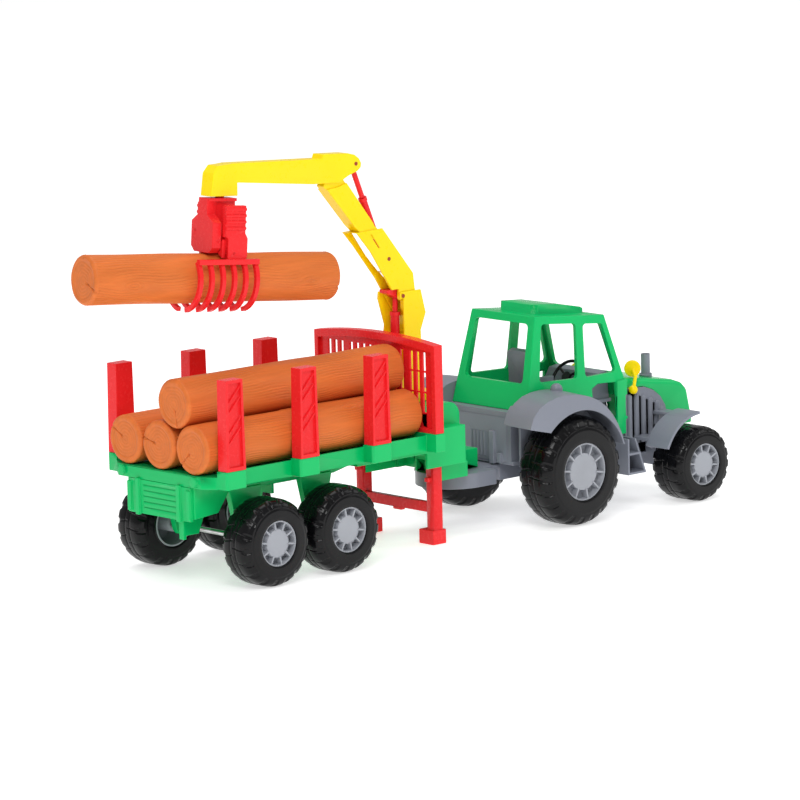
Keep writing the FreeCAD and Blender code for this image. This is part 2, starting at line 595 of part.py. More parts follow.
def hitch_pin():
    shaft = Part.makeCylinder(HITCH_PIN_R, 28, V(HITCH_X, 0, 38.5))
    head = Part.makeCylinder(6.5, 2.6, V(HITCH_X, 0, 66.0))
    return joined([shaft, head])


def support_leg():
    """Two feet on posts, a cross bar between them and pegs that snap into the chassis."""
    post = block((197.8, 207.6), (-46.8, -38.4), (6, 66))
    eye = cross_rod(LEG_PIVOT.x, LEG_PIVOT.z, 5.0, (-46.8, -38.4))
    peg = cross_rod(LEG_PIVOT.x, LEG_PIVOT.z, 3.0, (-48.9, -40))
    foot = block((196.0, 210.6), (-47.2, -30.0), (0, 12.0))
    stop = block((193.6, 198), (-44.5, -40.5), (52.5, 56))
    bar = prism_x([(-39, 26), (39, 26), (39, 34.5), (-39, 34.5)], (199.5, 204.5))
    lug = block((199.8, 204.2), (-5, 5), (23.8, 27))
    return joined([bar, lug] + both_sides(joined([post, eye, peg, foot, stop])))


# ---- crane ---------------------------------------------------------------
def crane_column():
    """Turntable, neck and the fork that carries the boom and the lift cylinder."""
    disc = Part.makeCylinder(20, 7.5, V(SLEW_X, 0, PEDESTAL_TOP + 0.4))
    spigot = Part.makeCylinder(8.0, 30, V(SLEW_X, 0, PEDESTAL_TOP - 26))
    outline = [(197.5, 121), (197.5, 170), (198.5, 177), (191.8, 199.4), (192.6, 205), (223.4, 205), (228.4, 185.3),
               (222.5, 171.5), (224, 121)]
    body = prism_y(outline, (-FORK_HALF, FORK_HALF))
    slot = prism_y([(150, 176), (208.5, 170), (216, 172), (240, 180), (240, 230), (150, 230)], (-FORK_SLOT, FORK_SLOT))
    groove = block((190, 211.5), (-5.2, 5.2), (124.5, 180))
    near_side = [block((185, 204), (-20, -5.0), (140, 199.5)), block((185, 200.5), (-20, -5.0), (199.4, 206))]
    return without(joined([disc, spigot, without(body, [slot, groove] + near_side)]), column_rods())


def column_rods():
    """Boom pivot, lift cylinder's foot pin and the stub on each cheek of the fork."""
    blind = FORK_HALF - 0.8
    stub = cross_rod(203.5, 201.8, 1.6, (-FORK_HALF - 0.5, -FORK_HALF + 1.2))
    return [cross_rod(BOOM_PIVOT.x, BOOM_PIVOT.z, PIN_R, (-blind, blind)),
            cross_rod(LIFT_FOOT.x, LIFT_FOOT.z, PIN_R, (-blind, blind))] + both_sides(stub)


def column_pins():
    return Part.makeCompound(column_rods())


def eye_hole(at, radius):
    return cross_rod(at.x, at.z, radius, (-20, 20))


def barrel(foot, head, length, radius, half):
    """Cylinder barrel from its foot eye, bored for the rod."""
    way = (head - foot).normalize()
    tube = rod(foot + way * 3.0, foot + way * length, radius)
    bore = rod(foot + way * 9.0, foot + way * (length + 1), ROD_R + PIN_GAP)
    eye = cross_rod(foot.x, foot.z, 4.0, (-half, half))
    collar = rod(foot + way * (length - 3.0), foot + way * length, radius + 0.6)
    return without(joined([tube, eye, collar]), [bore, eye_hole(foot, PIN_R + PIN_GAP)])


def piston_rod(foot, head, inside, eye_radius, slack, half):
    """Rod from inside the barrel to its head eye, whose hole has slack round the pin."""
    way = (head - foot).normalize()
    shaft = rod(foot + way * inside, head - way * (slack + 2.2), ROD_R)
    eye = cross_rod(head.x, head.z, eye_radius, (-half, half))
    return without(joined([shaft, eye]), [eye_hole(head, PIN_R + slack)])


def lift_rod():
    """Lift rod with a finger tab behind its eye."""
    body = piston_rod(LIFT_FOOT, LIFT_HEAD, 24.0, 4.2, 0.9, 4.6)
    tab = prism_y([(190.0, 207.3), (205.0, 207.3), (205.0, 200.0), (200.5, 200.5), (190.5, 204.8)], (-4.6, 4.6))
    return joined([body, tab.cut(eye_hole(LIFT_HEAD, 3.6))])


def boom_lower():
    """Channel section: two cheeks, a front web and a rear rib beside the long window."""
    outline = [(153.4, 258.5), (164.1, 246.5), (187.0, 217.6), (193.5, 207.5), (206.5, 187.0), (212, 183.5),
               (220, 183.5), (223, 191), (218.7, 206.1), (217.2, 219.1), (197.6, 243.2), (184.6, 259.5)]
    body = prism_y(outline, (-BOOM_HALF, BOOM_HALF))
    inner_bay = prism_y([(158, 262), (167, 250.5), (188.5, 222.5), (206, 222.5), (199.0, 236.0), (188, 262)],
                        (-BOOM_HALF + 1.35, BOOM_HALF - 1.35))
    lift_bay = prism_y([(180, 180), (180, 222), (203, 222), (211.5, 203), (212.2, 190), (213.8, 181), (206, 178)],
                       (-5.2, 5.2))
    near_side = prism_y([(180, 170), (180, 207.6), (200.8, 207.6), (200.8, 199), (204, 197), (204.5, 170)], (-20, -5.0))
    near_window = prism_y([(149.0, 260.9), (154.3, 260.8), (171.1, 241.3), (182.6, 223.6), (184.4, 217.6), (170.9, 234.1), (165.6, 239.6)], (-20, 0))
    far_window = prism_y([(161.2, 259.3), (169.4, 259.0), (186.4, 239.1), (197.8, 220.9), (199.6, 212.8), (183.3, 230.4), (177.5, 236.8)], (0, 20))
    slit = prism_y([(170.7, 255.7), (172.7, 255.7), (181.4, 243.7), (180.0, 243.6)], (-20, 0))
    pivot = eye_hole(BOOM_PIVOT, PIN_R + PIN_GAP)
    bays = [inner_bay, lift_bay, near_side, near_window, far_window, slit, pivot]
    return without(body, bays + [blind_pin(LIFT_HEAD, BOOM_HALF - 1.0), eye_hole(ARM_CYLINDER_FOOT, PIN_R)])


def blind_pin(at, reach):
    return cross_rod(at.x, at.z, PIN_R, (-reach, reach))


def boom_upper():
    """Narrower section that plugs into the lower one and carries the elbow."""
    outline = [(161.8, 258.0), (155.2, 264.0), (124.6, 299.4), (128.5, 309.0), (134.0, 313.6), (141.5, 312.5),
               (146.5, 302.5), (176.0, 264.6), (178.7, 259.4)]
    body = prism_y(outline, (-INNER_HALF, INNER_HALF))
    plug = prism_y([(165.5, 253.2), (158.6, 261.4), (178.9, 261.4), (187.4, 249.2)], (-INNER_HALF, INNER_HALF))
    body = joined([body, plug])
    cylinder_bay = prism_y([(146.0, 306.0), (150.5, 314.0), (200, 262), (196, 236), (186, 236), (170.5, 259)],
                           (-4.9, 4.9))
    head_gap = prism_y([(105, 297.5), (125, 296.5), (140, 298), (160, 303.5), (160, 322), (105, 322)],
                       (-20, -INNER_HALF + 1.8))
    return without(body, [cylinder_bay] + both_sides(head_gap) + [eye_hole(ELBOW, PIN_R)])


def boom_pins():
    pins = [blind_pin(LIFT_HEAD, BOOM_HALF - 1.0), blind_pin(ARM_CYLINDER_FOOT, BOOM_HALF + 0.4),
            blind_pin(ELBOW, ARM_HALF - 1.1)]
    return Part.makeCompound(pins)


def crane_arm():
    """Arm: hollow beam, fork round the elbow and the tail, and the head for the grab."""
    beam = prism_y([(12.0, 327.8), (26.5, 328.6), (122.0, 322.6), (123.5, 326.0), (150.0, 324.3), (157.0, 322.4),
                    (161.5, 319.2), (164.0, 315.0), (163.5, 311.5), (160.0, 309.0), (150, 306.0), (140.0, 301.6),
                    (112.7, 302.9), (32.0, 312.7), (8.0, 312.0)], (-ARM_HALF, ARM_HALF))
    head = prism_y([(3.6, 304.4), (6.4, 322.5), (12.0, 328.2), (31.5, 328.2), (31.0, 302.2)], (-ARM_HALF, ARM_HALF))
    elbow_bay = prism_y([(108, 295), (118, 320.6), (150, 320.2), (163, 320.2), (163, 315), (170, 310), (170, 295)],
                        (-4.6, 4.6))
    under = prism_y([(36, 300), (36, 309.5), (104, 301.5), (104, 295)], (-4.6, 4.6))
    socket = rod(GRAB_TOP - grab_axis() * 2.0, GRAB_TOP + grab_axis() * 11.0, 3.6 + PIN_GAP)
    elbow = cross_rod(ELBOW.x, ELBOW.z, PIN_R + PIN_GAP, (-ARM_HALF + 1.0, ARM_HALF - 1.0))
    return without(joined([beam, head]), [elbow_bay, under, elbow, eye_hole(ARM_TAIL, PIN_R), socket])


def arm_pin():
    return cross_rod(ARM_TAIL.x, ARM_TAIL.z, PIN_R, (-ARM_HALF - 0.4, ARM_HALF + 0.4))


# ---- grab, drawn under its own top and then put in place --------------------
def grab_axis():
    lean = math.radians(GRAB_TILT)
    return V(math.sin(lean), 0, math.cos(lean))


def hung(shape):
    """Put a piece drawn in the grab's own frame under the arm's head."""
    placed = shape.copy()
    placed.rotate(V(0, 0, 0), UP, GRAB_TURN)
    placed.rotate(V(0, 0, 0), LEFT, GRAB_TILT)
    placed.translate(GRAB_TOP)
    return placed


def grab_frame():
    """Housing that carries both jaw pins, with a neck and a spigot on top."""
    half = [(6.5, -1.2), (6.5, -14), (15.8, -20), (15.8, -40), (11, -44.4)]
    rear = prism_x(half + [(-y, z) for y, z in reversed(half)], (-15.5, -7.4))
    spine = block((-15.5, 12.0), (-4.5, 4.5), (-44.4, -1.2))
    spigot = Part.makeCylinder(3.6, 12.2, V(0, 0, -2))
    top_plate = block((-14.5, 12.0), (-7.0, 7.0), (-3.6, -1.2))
    front = [(13.8, -44.4), (13.8, -37), (11, -27.4)]
    front_post = prism_x(front + [(-y, z) for y, z in reversed(front)], (9.0, 12.0))
    dimples = [rod(V(-16, 9.7, -27.6), V(-15.0, 9.7, -27.6), 1.3), rod(V(-9.6, -16, -34), V(-9.6, -15.3, -34), 1.3)]
    return hung(without(joined([rear, spine, top_plate, front_post, spigot]), jaw_rods() + dimples))


def jaw_rods():
    """Pins of both jaws, drawn in the grab's own frame."""
    return [rod(V(-14.5, y, JAW_PIVOT_Z), V(12.3, y, JAW_PIVOT_Z), PIN_R) for y in (-JAW_PIVOT_Y, JAW_PIVOT_Y)]


def grab_pins():
    return hung(Part.makeCompound(jaw_rods()))


def jaw():
    """Right-hand jaw: ridged grip, body, comb bar and six curved tines."""
    low_x, high_x = -6.8, 8.4
    grip = block((low_x, high_x + 3.5), (-21.0, -16.5), (-31, -6))
    ridges = [rod(V(low_x, -21.0, z), V(high_x + 3.5, -21.0, z), 1.3) for z in (-9, -14, -19, -24)]
    body = prism_y([(low_x, -28), (low_x + 3.0, -33), (low_x + 3.0, -50), (high_x + 4.5, -50), (high_x + 6.0, -46),
                    (high_x + 6.0, -32), (high_x + 3.5, -28)], (-21.0, -16.5))
    ear = prism_x([(-17, -33), (-12, -36.6), (-8.2, -38.6), (-8.2, -43.4), (-12, -45.4), (-17, -48)], (low_x, high_x))
    neck = block((low_x + 3.0, high_x + 4.5), (-24.0, -17.5), (-52.6, -49))
    pitch, tine_width, middle = 10.6, 3.6, -4.5
    reach = 2.5 * pitch + tine_width / 2
    bar = block((middle - reach, middle + reach), (-25.4, -21.0), (-52.4, -48.2))
    tines = []
    for number in range(6):
        x = middle + (number - 2.5) * pitch
        tines.append(tine(x - tine_width / 2, x + tine_width / 2))
    hole = rod(V(-20, -JAW_PIVOT_Y, JAW_PIVOT_Z), V(20, -JAW_PIVOT_Y, JAW_PIVOT_Z), PIN_R + PIN_GAP)
    dimple = rod(V(2, -22, -44), V(2, -20, -44), 1.2)
    return without(joined([grip, body, ear, neck, bar] + ridges + tines), [hole, dimple])


def tine(low_x, high_x):
    """One curved finger round the near side of the gripped log."""
    centre = V(low_x, 0, GRIPPED_LOG_Z)
    inside, outside = LOG_R + 3.0, LOG_R + 6.6
    ring = rod(centre, V(high_x, 0, GRIPPED_LOG_Z), outside).cut(
        rod(centre - FORWARD, V(high_x + 1, 0, GRIPPED_LOG_Z), inside))
    far = 60
    start, end = math.radians(143), math.radians(258)
    sector = prism_x([(0, GRIPPED_LOG_Z), (far * math.cos(start), GRIPPED_LOG_Z + far * math.sin(start)),
                      (-far, GRIPPED_LOG_Z), (-far, GRIPPED_LOG_Z - far),
                      (far * math.cos(end), GRIPPED_LOG_Z + far * math.sin(end))], (low_x, high_x))
    return ring.common(sector)


# ---- load ------------------------------------------------------------------
def log_along_x(rear, centre_y, centre_z):
    """Plastic log: slightly tapered, with rounded ends."""
    thin = LOG_R - LOG_TAPER
    body = Part.makeCone(LOG_R, thin, LOG_LENGTH, V(0, 0, 0), FORWARD)
    body = body.makeFillet(LOG_END_ROUND, [e for e in body.Edges if abs(e.Length - 2 * math.pi * LOG_R) < 0.01
                                           or abs(e.Length - 2 * math.pi * thin) < 0.01])
    body.translate(V(rear, centre_y, centre_z))
    return body


def deck_logs():
    low_z = DECK_TOP + LOG_R + 0.02
    top_y = -LOG_PITCH / 2
    top_z = low_z + math.sqrt((2 * LOG_R + 0.06) ** 2 - (LOG_PITCH / 2) ** 2)
    save("log_deck_left", log_along_x(LOG_REAR, LOG_PITCH, low_z))
    save("log_deck_middle", log_along_x(LOG_REAR, 0, low_z))
    save("log_deck_right", log_along_x(LOG_REAR, -LOG_PITCH, low_z))
    save("log_deck_top", log_along_x(LOG_REAR, top_y, top_z))


def main():
    os.makedirs("parts", exist_ok=True)
    for name, size, axle in (("trailer_rear", TRAILER_WHEEL, TRAILER_AXLES[0]),
                             ("trailer_front", TRAILER_WHEEL, TRAILER_AXLES[1]),
                             ("tractor_rear", REAR_WHEEL, REAR_AXLE),
                             ("tractor_front", FRONT_WHEEL, FRONT_AXLE)):
        wheelset(name, size, axle)
    save("underframe", underframe())
    save("lower_body", lower_body())
    save("cab_and_hood", cab_and_hood())
    save("cab_interior", cab_interior())
    save("steering_wheel", steering_wheel())
    save("exhaust_stack", exhaust_stack())
    save("mirror_right", mirror_right())
    save("mirror_left", mirrored(mirror_right()))
    save("trailer_deck", trailer_deck())
    save("trailer_chassis", trailer_chassis())
    save("headboard", headboard())
    for x, place in zip(STAKE_X, ("rear", "middle", "front")):
        save("stake_right_" + place, stake(x))
        save("stake_left_" + place, mirrored(stake(x)))
    save("hitch_pin", hitch_pin())
    save("support_leg", support_leg())
    save("crane_column", crane_column())
    save("column_pins", column_pins())
    save("lift_barrel", barrel(LIFT_FOOT, LIFT_HEAD, 56.0, CYLINDER_R, 4.8))
    save("lift_rod", lift_rod())
    save("boom_lower", boom_lower())
    save("boom_upper", boom_upper())
    save("boom_pins", boom_pins())
    save("crane_arm", crane_arm())
    save("arm_pin", arm_pin())
    save("arm_barrel", barrel(ARM_CYLINDER_FOOT, ARM_TAIL, 56.0, 3.0, 4.4))
    save("arm_rod", piston_rod(ARM_CYLINDER_FOOT, ARM_TAIL, 20.0, 4.4, 1.2, 4.2))
    save("grab_frame", grab_frame())
    save("grab_pins", grab_pins())
    save("grab_jaw_right", hung(jaw()))
    save("grab_jaw_left", hung(mirrored(jaw())))
    save("log_gripped", hung(log_along_x(GRIPPED_LOG_BACK - LOG_LENGTH / 2, 0, GRIPPED_LOG_Z)))
    deck_logs()


main()
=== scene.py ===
"""Looks of the toy tractor with its timber trailer and loading crane."""
import json
import math
import bmesh
import bpy
import numpy as np
from mathutils import Matrix, Vector


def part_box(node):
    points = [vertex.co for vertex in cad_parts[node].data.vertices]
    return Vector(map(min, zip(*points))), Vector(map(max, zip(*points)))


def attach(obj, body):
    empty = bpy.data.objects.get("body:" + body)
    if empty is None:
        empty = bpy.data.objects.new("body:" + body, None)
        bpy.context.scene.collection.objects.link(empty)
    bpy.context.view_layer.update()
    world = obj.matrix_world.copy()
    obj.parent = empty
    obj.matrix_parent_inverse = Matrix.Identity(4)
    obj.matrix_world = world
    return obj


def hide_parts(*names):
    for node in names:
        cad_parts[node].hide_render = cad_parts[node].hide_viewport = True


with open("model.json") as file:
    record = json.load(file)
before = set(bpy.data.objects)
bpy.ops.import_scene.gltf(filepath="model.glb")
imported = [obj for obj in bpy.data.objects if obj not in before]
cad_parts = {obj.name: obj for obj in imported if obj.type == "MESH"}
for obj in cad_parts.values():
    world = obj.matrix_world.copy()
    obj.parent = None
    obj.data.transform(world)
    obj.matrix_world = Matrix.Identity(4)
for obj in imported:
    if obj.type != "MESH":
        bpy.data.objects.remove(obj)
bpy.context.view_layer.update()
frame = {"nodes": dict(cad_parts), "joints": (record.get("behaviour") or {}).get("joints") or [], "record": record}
NODES = frame["nodes"]
RECORD = frame["record"]
BODY = {n: body for body, names in RECORD["behaviour"]["bodies"].items() for n in names}
SLOT = {s["node"]: s["material_slot"] for s in RECORD["subparts"]}
MM = 0.001
FULL_TURN = 2 * math.pi
MIDDLE_X = 198.6            # the cuts' outlines are in mm forward of the trailer's rear axle
WELD = 2e-6                 # corners closer than this are one corner


# ---- materials ---------------------------------------------------------
class Graph:
    """Short calls for building one material's nodes."""

    def __init__(self, name):
        self.material = bpy.data.materials.new(name)
        self.material.use_nodes = True
        self.tree = self.material.node_tree
        self.shader = self.tree.nodes["Principled BSDF"]
        self.coords = self.tree.nodes.new("ShaderNodeTexCoord").outputs["Object"]

    def add(self, kind, **inputs):
        node = self.tree.nodes.new("ShaderNode" + kind)
        for key, value in inputs.items():
            self.put(node.inputs[key.replace("_", " ")], value)
        return node

    def put(self, socket, value):
        if isinstance(value, bpy.types.NodeSocket):
            self.tree.links.new(value, socket)
        else:
            socket.default_value = value

    def stretched(self, scale):
        """Object coordinates scaled along x, y and z, for patterns that run one way."""
        node = self.add("Mapping", Vector=self.coords)
        node.inputs["Scale"].default_value = scale
        return node.outputs["Vector"]

    def noise(self, scale, detail=3.0, roughness=0.5, vector=None):
        node = self.add("TexNoise", Scale=scale, Detail=detail, Roughness=roughness,
                        Vector=vector or self.coords)
        return node.outputs["Fac"]

    def pointiness(self):
        """Above one half on outer edges and below it in hollows."""
        return self.add("NewGeometry").outputs["Pointiness"]

    def spread(self, value, low, high, to_low, to_high):
        node = self.add("MapRange", Value=value)
        for key, number in zip(("From Min", "From Max", "To Min", "To Max"), (low, high, to_low, to_high)):
            node.inputs[key].default_value = number
        return node.outputs["Result"]

    def blend(self, factor, first, second):
        node = self.tree.nodes.new("ShaderNodeMix")
        node.data_type = "RGBA"
        self.put(node.inputs[0], factor)
        self.put(node.inputs[6], first)
        self.put(node.inputs[7], second)
        return node.outputs[2]

    def bump(self, height, distance, strength=1.0, normal=None):
        node = self.add("Bump", Height=height, Distance=distance, Strength=strength)
        if normal is not None:
            self.put(node.inputs["Normal"], normal)
        return node.outputs["Normal"]

    def set(self, **inputs):
        for key, value in inputs.items():
            self.put(self.shader.inputs[key.replace("_", " ")], value)


def scaled(colour, factor):
    return tuple(min(1.0, c * factor) for c in colour[:3]) + (1.0,)


def plastic(name, colour, rough, sheen, cloud, subsurface=0.0):
    """Injection-moulded plastic: faint flow marks in colour, uneven gloss, a fine skin and a painted highlight on
    outer edges.
    """
    g = Graph(name)
    flow = g.noise(38.0, 4.0, 0.55)
    fine = g.noise(1900.0, 2.0, 0.6)
    scuff = g.noise(240.0, 5.0, 0.7)
    edge = g.spread(g.pointiness(), 0.49, 0.56, 0.0, 1.0)
    tone = g.blend(g.spread(flow, 0.3, 0.7, 0.0, 1.0),
                   scaled(colour, 1.0 - cloud), scaled(colour, 1.0 + cloud))
    # painted highlight: outer edges blend towards a lighter copy of the plastic's colour
    painted_edge_highlight = scaled([c + 0.012 for c in colour], 1.25)
    g.set(Base_Color=g.blend(g.spread(edge, 0, 1, 0, 0.3), tone, painted_edge_highlight))
    g.set(Roughness=g.spread(scuff, 0.3, 0.75, rough - 0.02, rough + 0.04))
    g.set(Normal=g.bump(fine, 0.02 * MM, 0.2, g.bump(flow, 0.1 * MM, 0.15)))
    g.set(IOR=1.49, Specular_IOR_Level=0.17)
    g.set(Coat_Weight=sheen, Coat_Roughness=0.12)
    if subsurface:
        g.set(Subsurface_Weight=subsurface, Subsurface_Scale=2 * MM, Subsurface_Radius=(1.0, 0.8, 0.5))
    return g.material


def tyre_plastic():
    """Black blow-moulded tyre: shiny skin with dull patches and dust in the fine texture."""
    g = Graph("tyre_black")
    black, dusty = (0.0025, 0.0025, 0.003, 1), (0.006, 0.006, 0.007, 1)
    dust = g.noise(60.0, 5.0, 0.6)
    skin = g.noise(900.0, 3.0, 0.6)
    g.set(Base_Color=g.blend(g.spread(dust, 0.35, 0.75, 0.0, 1.0), black, dusty))
    g.set(Roughness=g.spread(dust, 0.3, 0.7, 0.12, 0.22))
    g.set(Normal=g.bump(skin, 0.04 * MM, 0.35, g.bump(g.noise(110.0, 3.0), 0.4 * MM, 0.3)))
    g.set(IOR=1.5, Specular_IOR_Level=0.2)
    return g.material


def wood_plastic():
    """Orange-brown log plastic: colour streaked along the log, with painted shade darkening the hollows of the
    grain.
    """
    g = Graph("log_plastic")
    base = (0.70, 0.175, 0.036)
    streak = g.noise(1.0, 6.0, 0.62, g.stretched((14.0, 150.0, 150.0)))
    cloud = g.noise(22.0, 3.0, 0.5)
    pits = g.noise(1.0, 3.0, 0.5, g.stretched((160.0, 1500.0, 1500.0)))
    streaked = g.blend(g.spread(streak, 0.38, 0.66, 0.0, 1.0), scaled(base, 0.9), scaled(base, 1.06))
    toned = g.blend(g.spread(cloud, 0.3, 0.7, 0.0, 0.25), streaked, scaled(base, 0.9))
    # painted shade: hollows of the grain blend towards a darker copy of the log colour
    painted_hollow_shade = g.spread(g.pointiness(), 0.44, 0.5, 1.0, 0.0)
    g.set(Base_Color=g.blend(g.spread(painted_hollow_shade, 0, 1, 0, 0.55), toned, scaled(base, 0.55)))
    g.set(Roughness=g.spread(streak, 0.3, 0.7, 0.4, 0.54))
    g.set(Normal=g.bump(pits, 0.09 * MM, 0.5, g.bump(streak, 0.4 * MM, 0.5)))
    g.set(IOR=1.47, Specular_IOR_Level=0.22)
    g.set(Subsurface_Weight=0.05, Subsurface_Scale=3 * MM)
    return g.material


def steel():
    """Drawn steel bar: fine lines along it and a few dull spots."""
    g = Graph("axle_steel")
    bright, dull = (0.62, 0.62, 0.63, 1), (0.45, 0.44, 0.43, 1)
    lines = g.noise(1.0, 4.0, 0.6, g.stretched((2500.0, 30.0, 2500.0)))
    spots = g.noise(140.0, 4.0, 0.6)
    g.set(Base_Color=g.blend(g.spread(spots, 0.4, 0.75, 0.0, 1.0), bright, dull))
    g.set(Metallic=1.0)
    g.set(Roughness=g.spread(lines, 0.3, 0.7, 0.18, 0.34))
    g.set(Normal=g.bump(lines, 0.03 * MM, 0.4))
    return g.material


MATERIALS = {
    "green_plastic": plastic("green_plastic", (0.0, 0.48, 0.125), 0.24, 0.1, 0.03, subsurface=0.04),
    "grey_plastic": plastic("grey_plastic", (0.205, 0.22, 0.265), 0.3, 0.08, 0.03),
    "red_plastic": plastic("red_plastic", (0.80, 0.016, 0.020), 0.26, 0.1, 0.03, subsurface=0.04),
    "yellow_plastic": plastic("yellow_plastic", (1.0, 0.70, 0.0), 0.28, 0.08, 0.03, subsurface=0.05),
    "rim_plastic": plastic("rim_plastic", (0.33, 0.345, 0.38), 0.3, 0.05, 0.05),
    "black_plastic": plastic("black_plastic", (0.012, 0.012, 0.014), 0.3, 0.1, 0.1),
    "pin_plastic": plastic("pin_plastic", (0.30, 0.045, 0.02), 0.36, 0.05, 0.1),
    "wood_plastic": wood_plastic(),
    "tyre": tyre_plastic(),
    "steel": steel(),
}


# ---- mesh tools ----------------------------------------------------------
def finish_piece(name, mesh, node):
    """Make the piece for a CAD node: the material of its slot, its body, and the CAD node hidden."""
    piece = bpy.data.objects.new(name, mesh)
    bpy.context.scene.collection.objects.link(piece)
    mesh.materials.clear()
    mesh.materials.append(MATERIALS["rim_plastic" if "_rim_" in node else SLOT[node]])
    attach(piece, BODY[node])
    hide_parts(node)
    return piece


def edited(mesh, change):
    """Run one bmesh change on a mesh."""
    bm = bmesh.new()
    bm.from_mesh(mesh)
    change(bm)
    bm.to_mesh(mesh)
    bm.free()


def weld(bm):
    bmesh.ops.remove_doubles(bm, verts=bm.verts, dist=WELD)


def face_outward(bm):
    bmesh.ops.recalc_face_normals(bm, faces=bm.faces)


def smooth(mesh, degrees):
    mesh.shade_smooth()
    mesh.set_sharp_from_angle(angle=math.radians(degrees))


def prism(outline, across):
    """Closed prism: an (x, z) outline in mm between two y values."""
    points = [((x - MIDDLE_X) * MM, y * MM, z * MM) for y in across for x, z in outline]
    count = len(outline)
    faces = [tuple(range(count)), tuple(reversed(range(count, 2 * count)))]
    faces += [((i + 1) % count, i, count + i, count + (i + 1) % count) for i in range(count)]
    mesh = bpy.data.meshes.new("cutter")
    mesh.from_pydata(points, [], faces)
    edited(mesh, face_outward)
    return mesh


def carved(mesh, outline, across):
    """Mesh with a prism taken out of it."""
    tool = bpy.data.objects.new("cutter", prism(outline, across))
    body = bpy.data.objects.new("body", mesh)
    for thing in (tool, body):
        bpy.context.scene.collection.objects.link(thing)
    cut = body.modifiers.new("cut", "BOOLEAN")
    cut.operation, cut.solver, cut.object = "DIFFERENCE", "EXACT", tool
    bpy.context.view_layer.update()
    result = bpy.data.meshes.new_from_object(body.evaluated_get(bpy.context.evaluated_depsgraph_get()))
    for thing in (tool, body):
        bpy.data.objects.remove(thing)
    return result


def roundable(bm, width):
    """Sharp edges with room for a rounding of this width beside them."""
    crowded = {v for v in bm.verts if any(e.calc_length() < 1.6 * width for e in v.link_edges)}
    narrow = {f for f in bm.faces if f.calc_area() < 2.6 * width * max(e.calc_length() for e in f.edges)}
    sharp_angle = math.radians(34)
    return [e for e in bm.edges if len(e.link_faces) == 2 and e.calc_face_angle(0.0) > sharp_angle
            and e.calc_length() > 2.4 * width and not crowded.intersection(e.verts)
            and not narrow.intersection(e.link_faces)]


def moulded(node, width):
    """The node's shape with its sharp edges rounded off, as a mould leaves it."""
    def round_edges(bm):
        weld(bm)
        bmesh.ops.dissolve_limit(bm, angle_limit=math.radians(0.6), verts=bm.verts, edges=bm.edges)
        bm.normal_update()
        if width > 0:
            bmesh.ops.bevel(bm, geom=roundable(bm, width), offset=width, offset_type="OFFSET", segments=2,
                            profile=0.5, affect="EDGES", clamp_overlap=False, harden_normals=False)
        bmesh.ops.triangulate(bm, faces=[f for f in bm.faces if len(f.verts) > 4])

    mesh = NODES[node].data.copy()
    if node in CUTS:
        edited(mesh, weld)
        for outline, across in CUTS[node]:
            mesh = carved(mesh, outline, across)
    mesh.name = "moulded_" + node
    edited(mesh, round_edges)
    smooth(mesh, 32)
    piece = finish_piece("shaped_" + node, mesh, node)
    normals = piece.modifiers.new("even_normals", "WEIGHTED_NORMAL")
    normals.keep_sharp = True


def grid_mesh(name, points, closed_u, closed_v, caps=()):
    """Quad mesh over a numpy array of points [u, v, xyz]; closed ways wrap round."""
    nu, nv = points.shape[:2]
    faces = []
    for i in range(nu if closed_u else nu - 1):
        for j in range(nv if closed_v else nv - 1):
            a, b = i * nv + j, i * nv + (j + 1) % nv
            c, d = ((i + 1) % nu) * nv + (j + 1) % nv, ((i + 1) % nu) * nv + j
            faces.append((a, b, c, d))
    mesh = bpy.data.meshes.new(name)
    mesh.from_pydata(points.reshape(-1, 3).tolist(), [], faces + list(caps))
    edited(mesh, face_outward)
    return mesh


def step(value, low, high):
    """Smooth rise from 0 at low to 1 at high."""
    t = np.clip((value - low) / (high - low), 0.0, 1.0)
    return t * t * (3 - 2 * t)


# ---- tyres ----------------------------------------------------------------
TRAILER_TYRE = 35.3 * MM     # the radius that the lugs' depth is worked out from
PROFILE_STEPS = 86
STEPS_PER_LUG = 26
SIDE_WALL = [(0.0, 0.02), (0.10, 0.0), (0.30, 0.01), (0.52, 0.02), (0.70, 0.06), (0.84, 0.14), (0.94, 0.28)]
TREAD_EDGE = [(0.01, 0.46), (0.0, 0.62)]


def tyre_profile(radius, hub, half):
    """Cross-section from one bead over the tread to the other, as (radius, across)."""
    wall = radius - hub
    keys = [(hub + up * wall, half - inward * wall) for up, inward in SIDE_WALL]
    keys += [(radius - down * wall, half - inward * wall) for down, inward in TREAD_EDGE]
    keys = [(r, -a) for r, a in keys]
    full = np.array(keys + [(r, -a) for r, a in reversed(keys)])
    length = np.concatenate([[0], np.cumsum(np.hypot(*np.diff(full, axis=0).T))])
    at = np.linspace(0, length[-1], PROFILE_STEPS)
    profile = np.stack([np.interp(at, length, full[:, 0]), np.interp(at, length, full[:, 1])], axis=1)
    for _ in range(2):
        profile[1:-1] = 0.25 * profile[:-2] + 0.5 * profile[1:-1] + 0.25 * profile[2:]
    return profile


